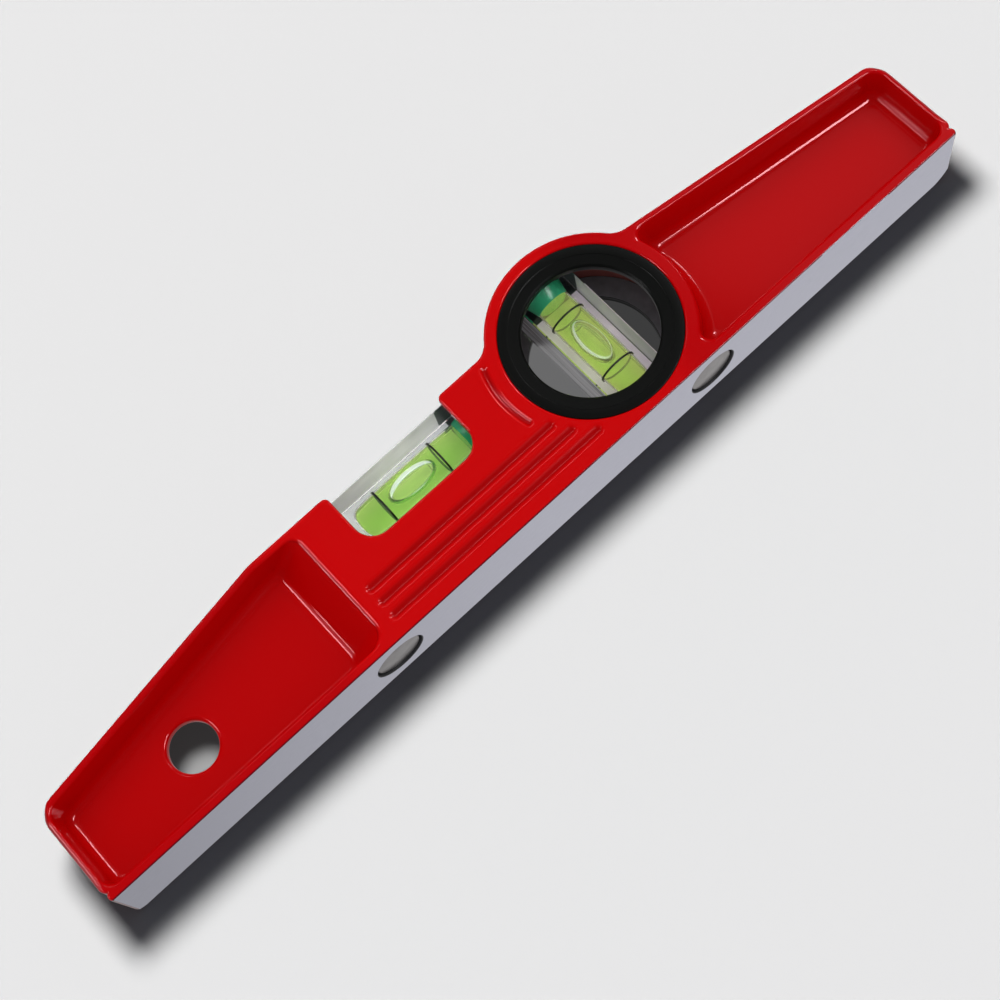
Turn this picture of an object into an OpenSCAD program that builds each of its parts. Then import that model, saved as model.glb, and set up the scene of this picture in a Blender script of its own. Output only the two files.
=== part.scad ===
// Cast aluminium torpedo level with a magnetic base, a level vial and a plumb vial.
// Millimetres. The origin is the centre of the milled base face. +X runs along the level
// towards the plumb vial, +Y away from the base and +Z out of the front face.

/* [Casting] */
// Overall length of the casting
body_l = 250; // [220:1:320]
// Thickness of the casting, front face to back face
body_t = 20; // [19:0.5:26]
// Height of the flat top above the base face
mid_h = 35.7; // [34:0.1:42]
// Height to which the sloping top falls at each end
end_h = 25.7; // [22:0.1:30]
// Length of each sloping end
taper_l = 68; // [60:1:72]
// Radius of the top corner at each end
end_r = 5; // [3:0.5:7]
// Radius of the bend where the slope meets the flat top
bend_r = 15; // [8:1:25]
// Radius of the lower corner at each end
heel_r = 3; // [2:0.25:3.5]
// Height of the centre of the lower corner's curve
heel_y = 4.4; // [4:0.1:5]
// Radius of the round end of the milled foot
foot_r = 1.1; // [0.9:0.05:1.3]
// Distance of the foot's end in from the end wall
foot_in = 0.6; // [0.4:0.05:0.8]
// Radius of the upright corners, seen from above
upright_r = 2.5; // [1:0.25:4]

/* [Pockets] */
// Thickness of the web between the front and back pockets
web_t = 3; // [2.4:0.1:5]
// Thickness of the end wall at the rim
end_wall = 1.7; // [1.4:0.1:3]
// Thickness of the sloping top wall at the rim
top_wall = 1.6; // [1.4:0.1:3]
// Thickness of the base wall at the rim
base_wall = 2.3; // [2.1:0.1:3]
// Distance by which the end and base walls lean in at the web
wall_draft = 1; // [0.4:0.1:1.6]
// Distance by which the top wall leans in at the web, at the far end
top_draft = 1; // [0.4:0.1:2]
// Distance by which the top wall leans in at the web, next to the ring
ring_draft = 2.8; // [1:0.1:3.5]
// Radius of the fillet between walls and web
root_r = 3; // [2:0.25:3.5]
// Radius of the pocket corners at the rim
rim_r = 3; // [2:0.25:4]
// Radius of the left pocket's corner beside the magnet
inner_r = 4.5; // [3:0.25:6]
// Length over which the left pocket's inner wall slopes
ramp_l = 8; // [6:0.25:9]

/* [Hanging hole] */
// Distance of the hole from the left end
hang_in = 33.3; // [22:0.1:45]
// Height of the hole above the base face
hang_y = 16.1; // [14:0.1:17]
// Radius of the hole
hang_r = 5.8; // [3:0.1:6.5]
// Radius of the hole's rounded lips
lip_r = 0.9; // [0.3:0.05:1]

/* [Ring] */
// Position of the ring's centre along the level
ring_x = 33.6; // [30:0.1:38]
// Metal left between the ring's bore and the base face
ring_floor = 2.32; // [2:0.05:4]
// Wall of the ring outside its bore
ring_wall = 3; // [2.4:0.1:4]
// Gap between the corners of the plumb vial's block and the bore
corner_gap = 0.45; // [0.2:0.05:1]
// Radius of the curves that blend the ring into the top edge
blend_r = 6; // [3:0.5:9]
// Distance by which the ring's wall leans out at the web
ring_lean = 1.2; // [0.6:0.1:2]

/* [Bezels] */
// Width of each bezel, from the bore to its window
bezel_w = 5.26; // [4.5:0.05:6]
// Depth of the bezel's face below the face of the casting
bezel_sink = 0.1; // [0.05:0.05:0.4]
// Depth of the step down to the inner part of the bezel's face
bezel_step = 0.15; // [0.1:0.05:0.3]
// Width of the raised outer part of the bezel's face
bezel_band = 2.3; // [1.5:0.1:3]
// Width of the slope at the bezel's window
bezel_slope = 0.6; // [0.3:0.05:1]
// Gap between the bezel and the bore
bezel_gap = 0.02; // [0.02:0.01:0.05]

/* [Magnets] */
// Position of the left magnet along the level
magnet_left_x = -45.5; // [-50:0.5:-43]
// Position of the right magnet along the level
magnet_right_x = 48.5; // [46:0.5:52]
// Diameter of each magnet
magnet_d = 12; // [10:0.1:12.4]
// Thickness of each magnet
magnet_h = 2; // [1.5:0.1:2.2]
// Depth of the magnet's face below the base face
magnet_sink = 0.5; // [0.2:0.05:0.6]
// Gap between the magnet and the wall of its seat
magnet_gap = 0.35; // [0.1:0.05:0.5]
// Metal left round each magnet's seat
magnet_wall = 1.15; // [0.9:0.05:1.5]

/* [Level vial slot] */
// Position of the level vial's middle along the level
level_x = -17.6; // [-20:0.1:-15]
// Depth of the vial's block below the flat top
level_sink = 1.2; // [0.5:0.1:2]
// Gap between the block and the slot's long walls
slot_gap = 0.1; // [0.05:0.05:0.3]
// Gap between the block and each end of the slot
slot_end_gap = 0.2; // [0.1:0.05:0.5]
// Length of the block hidden at the window's left
jamb_left = 2.3; // [1:0.1:4]
// Length of the block hidden at the window's right
jamb_right = 3; // [1:0.1:4]
// Height of the block hidden at the window's sill
sill_h = 0.9; // [0.4:0.1:2]
// Radius of the window's lower corners
sill_r = 5; // [2:0.5:6]
// Radius of the window's upper corners
brow_r = 1.5; // [0.5:0.25:2.5]

/* [Grooves] */
// Number of straight grooves
groove_n = 3; // [2:1:3]
// Height of the lowest groove
groove_y = 5; // [4.5:0.1:5.5]
// Pitch of the grooves
groove_pitch = 4; // [3.5:0.1:4.5]
// Width of a straight groove at the face
groove_w = 2.8; // [2:0.1:3.2]
// Depth of the grooves
groove_d = 0.5; // [0.3:0.05:0.8]
// Distance from the left pocket's rim to the grooves
groove_lead = 3; // [2:0.25:6]
// Distance from the ring's bore to the grooves' ends
groove_stop = 1.72; // [1.5:0.05:3]
// Distance from the ring's bore to the middle of the curved groove
bow_out = 4.25; // [3.8:0.05:5]
// Width of the curved groove at the face
bow_w = 2.3; // [1.6:0.1:2.6]
// Angle on the ring at which the curved groove starts
bow_from = 158; // [150:1:165]
// Angle on the ring at which the curved groove ends
bow_to = 194; // [185:1:196]

/* [Vials] */
// Length of the acrylic block
vial_l = 38; // [34:0.5:38]
// Width and thickness of the acrylic block
vial_w = 15; // [13:0.1:15.5]
// Bevel on the block's long edges
block_bevel = 0.25; // [0.1:0.05:0.6]
// Solid acrylic left beyond the chamber's blind end
blind_wall = 3.7; // [3:0.1:5]
// Radius of the chamber at its middle
chamber_r = 4.55; // [4.3:0.05:5]
// Drop of the barrel-shaped chamber at its blind end
barrel_drop = 0.4; // [0.1:0.05:0.6]
// Radius of the blind end's corner
blind_r = 2.5; // [1:0.25:3]
// Depth of the plug's inner face below the block's end
plug_deep = 6; // [5.5:0.1:6.5]
// Length of the plug
plug_l = 3.4; // [2.6:0.1:4]
// Distance by which the level vial's plug is pressed in less deep than the plumb vial's
level_plug_out = 2; // [0:0.1:2]
// Radius of the mouth that the tapered plug widens to
mouth_r = 5.1; // [4.8:0.05:5.6]
// Distance between the two marker lines, centre to centre
line_pitch = 16.4; // [15:0.1:18]
// Width of a marker line
line_w = 0.6; // [0.4:0.05:1]
// Depth of a marker line behind the chamber's wall
line_d = 0.35; // [0.2:0.05:0.6]
// Length of the bubble
bubble_l = 13.2; // [11:0.1:14]
// Diameter of the bubble
bubble_d = 6.4; // [5:0.1:6.6]
// Film of liquid between the bubble and the chamber's upper wall
film = 0.2; // [0.15:0.05:0.4]
// Liquid left between the bubble and the blind end at the end of its run
run_stop = 0.7; // [0.5:0.1:1.5]
// Gap between pieces that are cemented or wetted together
skin = 0.02; // [0.01:0.01:0.05]

/* [Hidden] */
$fn = 96;

// Colours
red_enamel = [0.74, 0.04, 0.06];
magnet_grey = [0.55, 0.54, 0.53];
bezel_black = [0.06, 0.06, 0.06];
clear_acrylic = [0.85, 0.88, 0.88, 0.35];
vial_green = [0.62, 0.82, 0.32, 0.6];
bubble_pale = [0.86, 0.95, 0.7, 0.7];
plug_teal = [0.18, 0.56, 0.40, 0.8];
line_black = [0.03, 0.05, 0.03];

// Extra depth that carries a cut clear through a face
cut = 1;
half_l = body_l / 2;
half_t = body_t / 2;
half_web = web_t / 2;
// Fall of the sloping top for each millimetre along it, and the stretch of its normal
slope = (mid_h - end_h) / taper_l;
lean = norm([1, slope]);

// Ring, sized by the block that it holds
bore_r = norm([vial_l, vial_w]) / 2 + corner_gap;
boss_r = bore_r + ring_wall;
ring_y = bore_r + ring_floor;
ring = [ring_x, ring_y];

// Places of the vials
level_y = mid_h - level_sink - vial_w / 2;
seat_r = magnet_d / 2 + magnet_gap;
seat_h = magnet_h + magnet_sink;

// Height of the top edge at x, without the ring
function top_at(x) = mid_h - slope * max(0, abs(x) - (half_l - taper_l));
// Point at an angle on a circle
function on_circle(centre, r, a) = centre + r * [cos(a), sin(a)];
// Angle of the direction from one point to another
function heading(from, to) = atan2(to[1] - from[1], to[0] - from[0]);
// Points of an arc of n steps
function arc(centre, r, a0, a1, n) = [for (i = [0:n]) on_circle(centre, r, a0 + (a1 - a0) * i / n)];
function unit(v) = v / norm(v);
// Smallest turn between two headings
function turn(a0, a1) = let (d = a1 - a0) d > 180 ? d - 360 : d < -180 ? d + 360 : d;
// Arc that rounds the corner at b of the path a, b, c
function round_corner(a, b, c, r, n = 6) =
    let (
        u = unit(a - b),
        v = unit(c - b),
        half = acos(u * v) / 2,
        centre = b + unit(u + v) * r / sin(half),
        from = heading(centre, b + u * r / tan(half)),
        to = heading(centre, b + v * r / tan(half))
    )
    arc(centre, r, from, from + turn(from, to), n);
// Crossing of two circles on the right of the way from the first to the second
function meet(c0, r0, c1, r1) =
    let (d = norm(c1 - c0), a = (r0 * r0 - r1 * r1 + d * d) / (2 * d), h = sqrt(r0 * r0 - a * a), w = (c1 - c0) / d)
    c0 + w * a + [w[1], -w[0]] * h;
function mirrored(points) = [for (i = [len(points) - 1:-1:0]) [-points[i][0], points[i][1]]];

// Right end of the outline, from the foot up to the top corner
foot_centre = [half_l - foot_in - foot_r, foot_r];
heel_centre = [half_l - heel_r, heel_y];
nick = meet(foot_centre, foot_r, heel_centre, heel_r);
end_points = concat(
    arc(foot_centre, foot_r, -90, heading(foot_centre, nick), 6),
    arc(heel_centre, heel_r, heading(heel_centre, nick), 0, 6),
    round_corner([half_l, heel_y], [half_l, end_h], [half_l - taper_l, mid_h], end_r)
);

// Blend between the flat top and the ring: the curve's centre lies blend_r above the edge
blend_rise = mid_h + blend_r - ring_y;
left_blend = [ring_x - sqrt(pow(boss_r + blend_r, 2) - pow(blend_rise, 2)), mid_h + blend_r];
// Blend between the slope and the ring, worked out along the slope's own direction
slope_way = unit([1, -slope]);
slope_normal = [slope_way[1] * -1, slope_way[0]];
slope_foot_gap = ([half_l - taper_l, mid_h] - ring) * slope_normal;
blend_run = sqrt(pow(boss_r + blend_r, 2) - pow(slope_foot_gap + blend_r, 2));
right_blend = ring + slope_normal * (slope_foot_gap + blend_r) + slope_way * blend_run;
ring_from = heading(ring, right_blend);
ring_to = heading(ring, left_blend);
ring_points = concat(
    arc(right_blend, blend_r, heading([0, 0], -slope_normal), ring_from - 180, 5),
    arc(ring, boss_r, ring_from, ring_to, 40),
    arc(left_blend, blend_r, ring_to - 180, -90, 5)
);

// Window of the level vial, as a dip in the top edge
window_left = level_x - vial_l / 2 + jamb_left;
window_right = level_x + vial_l / 2 - jamb_right;
sill_y = level_y - vial_w / 2 + sill_h;
window_points = concat(
    round_corner([ring_x, mid_h], [window_right, mid_h], [window_right, sill_y], brow_r, 4),
    round_corner([window_right, mid_h], [window_right, sill_y], [window_left, sill_y], sill_r),
    round_corner([window_right, sill_y], [window_left, sill_y], [window_left, mid_h], sill_r),
    round_corner([window_left, sill_y], [window_left, mid_h], [-half_l, mid_h], brow_r, 4)
);
left_bend = round_corner([0, mid_h], [taper_l - half_l, mid_h], [-half_l, end_h], bend_r, 4);
outline = concat(end_points, ring_points, window_points, left_bend, mirrored(end_points));

// Outer form of the casting: the outline with its upright end corners rounded
module blank() {
    plan = [[half_l, half_t], [-half_l, half_t], [-half_l, -half_t], [half_l, -half_t]];
    intersection() {
        translate([0, 0, -half_t]) linear_extrude(body_t) polygon(outline);
        translate([0, ring_y + boss_r + cut, 0]) rotate([90, 0, 0])
            linear_extrude(ring_y + boss_r + 2 * cut)
                polygon([for (i = [0:3]) each round_corner(
                    plan[(i + 3) % 4], plan[i], plan[(i + 1) % 4], upright_r)]);
    }
}

// Pocket that a mould leaves: round corners at the rim, drafted walls and filleted roots
module pocket(rim, root) {
    hull() {
        for (c = rim) translate([c[0], c[1], half_t]) cylinder(r = c[2], h = cut, $fn = 32);
        for (c = root) translate([c[0], c[1], half_web + root_r]) sphere(root_r, $fn = 32);
    }
}

// Centre of a round corner of radius r that lies gap below the sloping top at x
function under_top(x, gap, r) = [x, top_at(x) - (gap + r) * lean, r];

// Solid round a magnet's seat that the pocket leaves standing
module magnet_boss(x) {
    translate([x, 0, 0]) rotate([-90, 0, 0])
        cylinder(r = seat_r + magnet_wall, h = seat_h + magnet_wall);
}

module left_pocket() {
    far = end_wall - half_l;
    ramp_foot = magnet_left_x - seat_r - magnet_wall;
    bend = taper_l - half_l;
    difference() {
        pocket(
            [
                [far + rim_r, base_wall + rim_r, rim_r],
                under_top(far + rim_r, top_wall, rim_r),
                under_top(bend, top_wall, rim_r),
                under_top(ramp_foot + ramp_l - rim_r, top_wall, rim_r),
                [ramp_foot + ramp_l - inner_r, base_wall + inner_r, inner_r]
            ],
            [
                [far + wall_draft + root_r, base_wall + wall_draft + root_r],
                under_top(far + wall_draft + root_r, top_wall + top_draft, root_r),
                under_top(bend, top_wall + top_draft, root_r),
                under_top(ramp_foot - root_r, top_wall + top_draft, root_r),
                [ramp_foot - root_r, base_wall + wall_draft + root_r]
            ]
        );
        magnet_boss(magnet_left_x);
    }
}

// Flank of the ring inside the right pocket: a lean wall with a concave root
module ring_flank() {
    root_centre = [boss_r + ring_lean + root_r, half_web + root_r - cut / 20];
    translate(ring) rotate_extrude()
        polygon(concat(
            [[0, 0], [root_centre[0], 0]],
            arc(root_centre, root_r, -90, -172, 8),
            [[boss_r, half_t], [boss_r, half_t + cut], [0, half_t + cut]]
        ));
}

module right_pocket() {
    far = half_l - end_wall;
    difference() {
        pocket(
            [
                [far - rim_r, base_wall + rim_r, rim_r],
                under_top(far - rim_r, top_wall, rim_r),
                under_top(ring_x + boss_r - rim_r, top_wall, rim_r),
                [ring_x + boss_r - 2 * rim_r, base_wall + rim_r, rim_r]
            ],
            [
                [far - wall_draft - root_r, base_wall + wall_draft + root_r],
                under_top(far - wall_draft - root_r, top_wall + top_draft, root_r),
                under_top(ring_x + boss_r - root_r, top_wall + ring_draft, root_r),
                [ring_x + boss_r - 2 * root_r, base_wall + wall_draft + root_r]
            ]
        );
        ring_flank();
        magnet_boss(magnet_right_x);
    }
}

// Hanging hole with rounded lips through the web
module hanging_hole() {
    upper = arc([hang_r + lip_r, half_web - lip_r], lip_r, 180, 100, 5);
    lower = [for (i = [len(upper) - 1:-1:0]) [upper[i][0], -upper[i][1]]];
    reach = hang_r + lip_r;
    translate([hang_in - half_l, hang_y]) union() {
        cylinder(r = hang_r, h = web_t + cut, center = true);
        rotate_extrude() polygon(concat(
            [[0, half_web + cut]], [[0, -half_web - cut], [reach, -half_web - cut]], lower, upper,
            [[reach, half_web + cut]]
        ));
    }
}

// Radius of the round cutter whose cap is w wide and d deep
function cutter_r(w, d) = (w * w / 4 + d * d) / (2 * d);

// Straight groove from x0 to x1 with round ends
module groove(x0, x1, y) {
    r = cutter_r(groove_w, groove_d);
    inset = groove_w / 2;
    long = x1 - x0 - 2 * inset;
    translate([x0 + inset, y, half_t + r - groove_d]) rotate([0, 90, 0])
        rotate_extrude() polygon(concat(
            arc([0, 0], r, -90, 0, 10), [for (p = arc([0, 0], r, 0, 90, 10)) p + [0, long]]
        ));
}

// Where a groove at height y stops short of the ring
function groove_end(y) = ring_x - sqrt(pow(bore_r + groove_stop, 2) - pow(y - ring_y, 2));

module straight_grooves() {
    start = magnet_left_x - seat_r - magnet_wall + ramp_l + groove_lead;
    for (i = [0:groove_n - 1]) {
        y = groove_y + i * groove_pitch;
        groove(start, groove_end(y), y);
    }
}

// Curved groove beside the ring: part of a turned channel, with round ends
module curved_groove() {
    r = cutter_r(bow_w, groove_d);
    bow_radius = bore_r + bow_out;
    half = bow_w / 2 + skin;
    translate([ring_x, ring_y, half_t - groove_d]) intersection() {
        translate([0, 0, r]) rotate_extrude() translate([bow_radius, 0]) circle(r);
        translate([0, 0, -groove_d]) linear_extrude(2 * groove_d + cut) polygon(concat(
            arc([0, 0], bow_radius + half, bow_from, bow_to, 12),
            arc(on_circle([0, 0], bow_radius, bow_to), half, bow_to, bow_to + 180, 8),
            arc([0, 0], bow_radius - half, bow_to, bow_from, 12),
            arc(on_circle([0, 0], bow_radius, bow_from), half, bow_from + 180, bow_from + 360, 8)
        ));
    }
}

module magnet_seat(x) {
    translate([x, -cut, 0]) rotate([-90, 0, 0]) cylinder(r = seat_r, h = seat_h + cut);
}

// Slot that the level vial's block drops into
module level_slot() {
    long = vial_l + 2 * slot_end_gap;
    wide = vial_w + 2 * slot_gap;
    translate([level_x - long / 2, level_y - vial_w / 2 - skin, -wide / 2])
        cube([long, vial_w + level_sink + cut, wide]);
}

// The casting, in one piece
module cast_body() {
    color(red_enamel)
        difference() {
            blank();
            for (side = [0, 1]) mirror([0, 0, side]) {
                left_pocket();
                right_pocket();
                straight_grooves();
                curved_groove();
            }
            translate([ring_x, ring_y, 0]) cylinder(r = bore_r, h = body_t + 2 * cut, center = true, $fn = 128);
            level_slot();
            hanging_hole();
            magnet_seat(magnet_left_x);
            magnet_seat(magnet_right_x);
        }
}

module magnet(x) {
    color(magnet_grey)
        translate([x, magnet_sink, 0]) rotate([-90, 0, 0]) cylinder(r = magnet_d / 2, h = magnet_h);
}

// Ring that holds the plumb vial's block in the bore, built for the front
module bezel() {
    outer = bore_r - bezel_gap;
    inner = bore_r - bezel_w;
    face = half_t - bezel_sink;
    low = face - bezel_step;
    back = vial_w / 2;
    color(bezel_black)
        translate(ring) rotate_extrude($fn = 128) polygon([
            [inner, back], [outer, back], [outer, low], [outer - bezel_step, face],
            [outer - bezel_band, face], [outer - bezel_band - bezel_step, low],
            [inner + bezel_slope, low], [inner, low - 2 * bezel_slope]
        ]);
}

// Chamber from its middle to its blind end, and to the inner face of a plug that is pressed in fully
chamber_l = vial_l / 2 - blind_wall;
plug_x = vial_l / 2 - plug_deep;
bubble_run = chamber_l - bubble_l / 2 - run_stop;

// Radius of the barrel-shaped chamber at x from its middle
function chamber_at(x) = chamber_r - barrel_drop * pow(x / chamber_l, 2);

// Turned form along X from a profile of [radius, place along X]
module turned(profile) {
    rotate([0, 90, 0]) rotate_extrude() polygon(profile);
}

// Wall of the chamber from its blind end to a plug that stands out from full depth, inset by gap
function chamber_profile(gap, out) =
    let (
        end = chamber_l - gap,
        corner_r = blind_r - gap,
        top = chamber_at(chamber_l - blind_r) - gap,
        steps = 8,
        from = blind_r - chamber_l,
        long = plug_x + out - from - gap
    )
    concat(
        [[0, -end]],
        arc([top - corner_r, corner_r - end], corner_r, -90, 0, 5),
        [for (i = [1:steps]) let (x = from + long * i / steps) [chamber_at(x) - gap, x]]
    );

// Acrylic block, cast with a barrel-shaped chamber that is closed by a plug at +X
module vial_block(out) {
    half = vial_w / 2;
    in = half - block_bevel;
    color(clear_acrylic)
        difference() {
            translate([-vial_l / 2, 0, 0]) rotate([90, 0, 90]) linear_extrude(vial_l)
                polygon([
                    [half, -in], [half, in], [in, half], [-in, half],
                    [-half, in], [-half, -in], [-in, -half], [in, -half]
                ]);
            turned(concat(
                chamber_profile(0, out),
                [[mouth_r, plug_x + out + plug_l], [mouth_r, vial_l / 2 + cut], [0, vial_l / 2 + cut]]
            ));
            for (side = [-1, 1]) translate([side * line_pitch / 2, 0, 0]) rotate([0, 90, 0])
                cylinder(r = line_outer_r() + skin, h = line_w + 2 * skin, center = true);
        }
}

function line_inner_r() = chamber_at(line_pitch / 2) + skin;
function line_outer_r() = line_inner_r() + line_d;

// Black ring set into the chamber's wall
module marker_line(side) {
    color(line_black)
        translate([side * line_pitch / 2, 0, 0]) rotate([0, 90, 0]) difference() {
            cylinder(r = line_outer_r(), h = line_w, center = true);
            cylinder(r = line_inner_r(), h = line_w + cut, center = true);
        }
}

// Tapered stopper that seals the chamber
module plug(out) {
    inner = plug_x + out;
    color(plug_teal)
        turned([
            [0, inner], [chamber_at(inner) - skin, inner],
            [mouth_r - skin, inner + plug_l], [0, inner + plug_l]
        ]);
}

// Offset of the bubble towards the upper wall, clear of the barrel over its whole run
bubble_z = chamber_at(bubble_run) - film - bubble_d / 2;

// Long bubble with full round ends, swollen by grow
module bubble_form(grow = 0) {
    half = bubble_l / 2 + grow;
    r = bubble_d / 2 + grow;
    steps = 16;
    translate([0, 0, bubble_z])
        turned([for (i = [0:steps]) let (a = 180 * i / steps)
            [r * pow(sin(a), 0.8), -half * cos(a)]]);
}

module bubble() {
    color(bubble_pale) bubble_form();
}

// Spirit that fills the chamber round the bubble
module liquid(out) {
    color(vial_green)
        difference() {
            turned(concat(chamber_profile(skin, out), [[0, plug_x + out - skin]]));
            bubble_form(skin);
        }
}

module at_level() {
    translate([level_x, level_y, 0]) children();
}

module at_plumb() {
    translate([ring_x, ring_y, 0]) rotate([0, 0, 90]) children();
}

cast_body();
magnet(magnet_left_x);  // left_magnet
magnet(magnet_right_x);  // right_magnet
bezel();  // front_bezel
mirror([0, 0, 1]) bezel();  // back_bezel
at_level() vial_block(level_plug_out);  // level_block
at_level() liquid(level_plug_out);  // level_liquid
at_level() bubble();  // level_bubble
at_level() plug(level_plug_out);  // level_plug
at_level() marker_line(-1);  // level_line_left
at_level() marker_line(1);  // level_line_right
at_plumb() vial_block(0);  // plumb_block
at_plumb() liquid(0);  // plumb_liquid
at_plumb() bubble();  // plumb_bubble
at_plumb() plug(0);  // plumb_plug
at_plumb() marker_line(-1);  // plumb_line_lower
at_plumb() marker_line(1);  // plumb_line_upper
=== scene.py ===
# %% [markdown]
# # A cast torpedo level with two block vials
# The real thing is a small spirit level: an aluminium casting in red enamel, a bare milled base with
# two magnets, and two clear acrylic vials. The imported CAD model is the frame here. Each step says
# what a piece is on the real level, how it could be made, and why it is made this way.

# %% Load the frame
import bpy
import math
import numpy as np
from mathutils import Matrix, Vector


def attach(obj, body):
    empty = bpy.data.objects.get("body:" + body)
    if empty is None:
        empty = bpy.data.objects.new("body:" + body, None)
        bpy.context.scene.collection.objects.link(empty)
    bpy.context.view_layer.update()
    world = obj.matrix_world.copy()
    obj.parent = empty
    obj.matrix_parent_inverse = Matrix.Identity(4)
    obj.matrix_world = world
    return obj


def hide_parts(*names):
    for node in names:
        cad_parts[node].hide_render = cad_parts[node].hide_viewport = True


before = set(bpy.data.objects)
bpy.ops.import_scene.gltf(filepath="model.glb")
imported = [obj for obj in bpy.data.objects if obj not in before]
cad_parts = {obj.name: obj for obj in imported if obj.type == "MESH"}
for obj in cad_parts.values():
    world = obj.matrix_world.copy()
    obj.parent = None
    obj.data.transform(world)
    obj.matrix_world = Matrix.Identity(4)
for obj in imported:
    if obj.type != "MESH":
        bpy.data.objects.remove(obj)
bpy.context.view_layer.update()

# %% [markdown]
# ## Millimetres
# A maker thinks in millimetres, and Blender works in metres, so one helper builds meshes from points
# in millimetres. Nearly every part of a level is a profile that is pushed or turned, so two more
# helpers make a skin over a row of rings, and turn a profile about an axis.

# %% Helpers for meshes
MM = 0.001


def mesh_piece(name, points, faces, smooth=30):
    """A mesh object from points in mm. Edges sharper than smooth degrees stay crisp."""
    mesh = bpy.data.meshes.new(name)
    mesh.from_pydata([tuple(MM * float(v) for v in p) for p in points], [], faces)
    mesh.validate()
    obj = bpy.data.objects.new(name, mesh)
    bpy.context.scene.collection.objects.link(obj)
    mesh.shade_smooth()
    mesh.set_sharp_from_angle(angle=math.radians(smooth))
    return obj


def loft(rings):
    """Points and faces of a skin over rings with equal counts, with a flat cap on each end."""
    count = len(rings[0])
    points = [p for ring in rings for p in ring]
    faces = []
    for k in range(len(rings) - 1):
        a, b = k * count, (k + 1) * count
        for i in range(count):
            j = (i + 1) % count
            faces.append((a + i, a + j, b + j, b + i))
    last = len(points) - count
    return points, faces + [tuple(range(count - 1, -1, -1)), tuple(range(last, last + count))]


def revolve(profile, count, centre=(0, 0)):
    """Points and faces of a profile of (radius, height) turned about Z, capped where it ends."""
    turn = [2 * math.pi * i / count for i in range(count)]
    rings = [[(centre[0] + r * math.cos(a), centre[1] + r * math.sin(a), z) for a in turn]
             for r, z in profile]
    return loft(rings)


def merged(*parts):
    """Several sets of points and faces as one."""
    points, faces = [], []
    for more, its_faces in parts:
        start = len(points)
        points += list(more)
        faces += [tuple(start + i for i in f) for f in its_faces]
    return points, faces


# %% [markdown]
# ## The camera
# The photograph looks down on the level from above its base edge, turned so that the level runs from
# the lower left to the upper right. A lens of 68.65 mm and this place came from matching the known
# points of the level, such as the hole, the ring and the corners, to where they lie in the picture.

# %% Camera
camera_data = bpy.data.cameras.new("camera")
camera_data.lens = 68.649
camera_data.sensor_width = 36
camera = bpy.data.objects.new("camera", camera_data)
bpy.context.scene.collection.objects.link(camera)
camera.location = (-0.057134, -0.114450, 0.400357)
camera.rotation_euler = [math.radians(a) for a in (17.54245, 6.63330, -42.21737)]
bpy.context.scene.camera = camera
bpy.context.scene.view_settings.view_transform = "Standard"
print("Camera distance to the origin in m:", round(camera.location.length, 3))

# %% [markdown]
# ## The sizes that the pieces share
# These repeat the sizes of the CAD source, so that a refined piece lies exactly on its solid.

# %% Sizes in mm
HALF_L, HALF_T = 125.0, 10.0
MID_H, END_H, TAPER_L = 35.7, 25.7, 68.0
SLOPE, BEND_X = (MID_H - END_H) / TAPER_L, HALF_L - TAPER_L
RING = np.array([33.6, 23.2])
VIAL_L, VIAL_W = 38.0, 15.0
CORNER_GAP, RING_WALL = 0.45, 3.0
BORE_R = math.hypot(VIAL_L, VIAL_W) / 2 + CORNER_GAP
BOSS_R = BORE_R + RING_WALL
WEB = 1.5  # half the thickness of the wall between the pockets
LEVEL_C = np.array([-17.6, 27.0])
MAGNETS = (-45.5, 48.5)
HOLE = (-91.71, 16.10)


def top_at(x):
    return MID_H - SLOPE * max(0.0, abs(x) - BEND_X)


def arc(centre, r, a0, a1, n):
    """Points of an arc of n steps, angles in degrees."""
    turns = np.radians(np.linspace(a0, a1, n + 1))
    return np.array(centre) + r * np.stack([np.cos(turns), np.sin(turns)], 1)


def unit(v):
    v = np.array(v, float)
    return v / np.linalg.norm(v)


def heading(v):
    return math.degrees(math.atan2(v[1], v[0]))


print("Bore radius in mm:", round(BORE_R, 3), "- slope of the top:", round(SLOPE, 4))

# %% [markdown]
# ## The casting: outline
# The body is one die casting. Every cast edge is a little round, because sharp corners in a die wear
# and the enamel draws back from them. A bevel on a finished boolean breaks easily, so the outline is
# built as a list of points with their outward normals, and stepping inwards along those normals
# gives the round edge at the front and back faces.

# %% Pieces of an outline with normals
def side_line(a, b, n):
    """Points on a straight side, with the outward normal on its right."""
    a, b = np.array(a, float), np.array(b, float)
    d = unit(b - a)
    normal = np.array([d[1], -d[0]])
    return [(a + (b - a) * t, normal) for t in np.linspace(0, 1, n + 1)]


def side_arc(centre, r, a0, a1, n, bulge=1):
    """Points on an arc. bulge is 1 where the side bulges out and -1 where it is hollow."""
    points = arc(centre, r, a0, a1, n)
    return [(p, bulge * unit(p - np.array(centre))) for p in points]


def fillet(a, b, c, r, n=8):
    """An arc of radius r in the corner at b, going anticlockwise round the outline."""
    a, b, c = (np.array(v, float) for v in (a, b, c))
    u, v = unit(a - b), unit(c - b)
    half = math.acos(np.clip(u @ v, -1, 1)) / 2
    centre = b + unit(u + v) * r / math.sin(half)
    p, q = b + u * r / math.tan(half), b + v * r / math.tan(half)
    a0 = heading(p - centre)
    turn = (heading(q - centre) - a0 + 180) % 360 - 180
    return side_arc(centre, r, a0, a0 + turn, n, 1 if turn > 0 else -1)


# %% [markdown]
# ## The casting: its ends and the ring
# Each end has a small foot that the mill leaves, a heel, a plain wall and a round top corner. The ring's
# boss runs into the top edge through a hollow curve on each side, whose centre lies one radius above the
# edge and one radius outside the boss.

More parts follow.
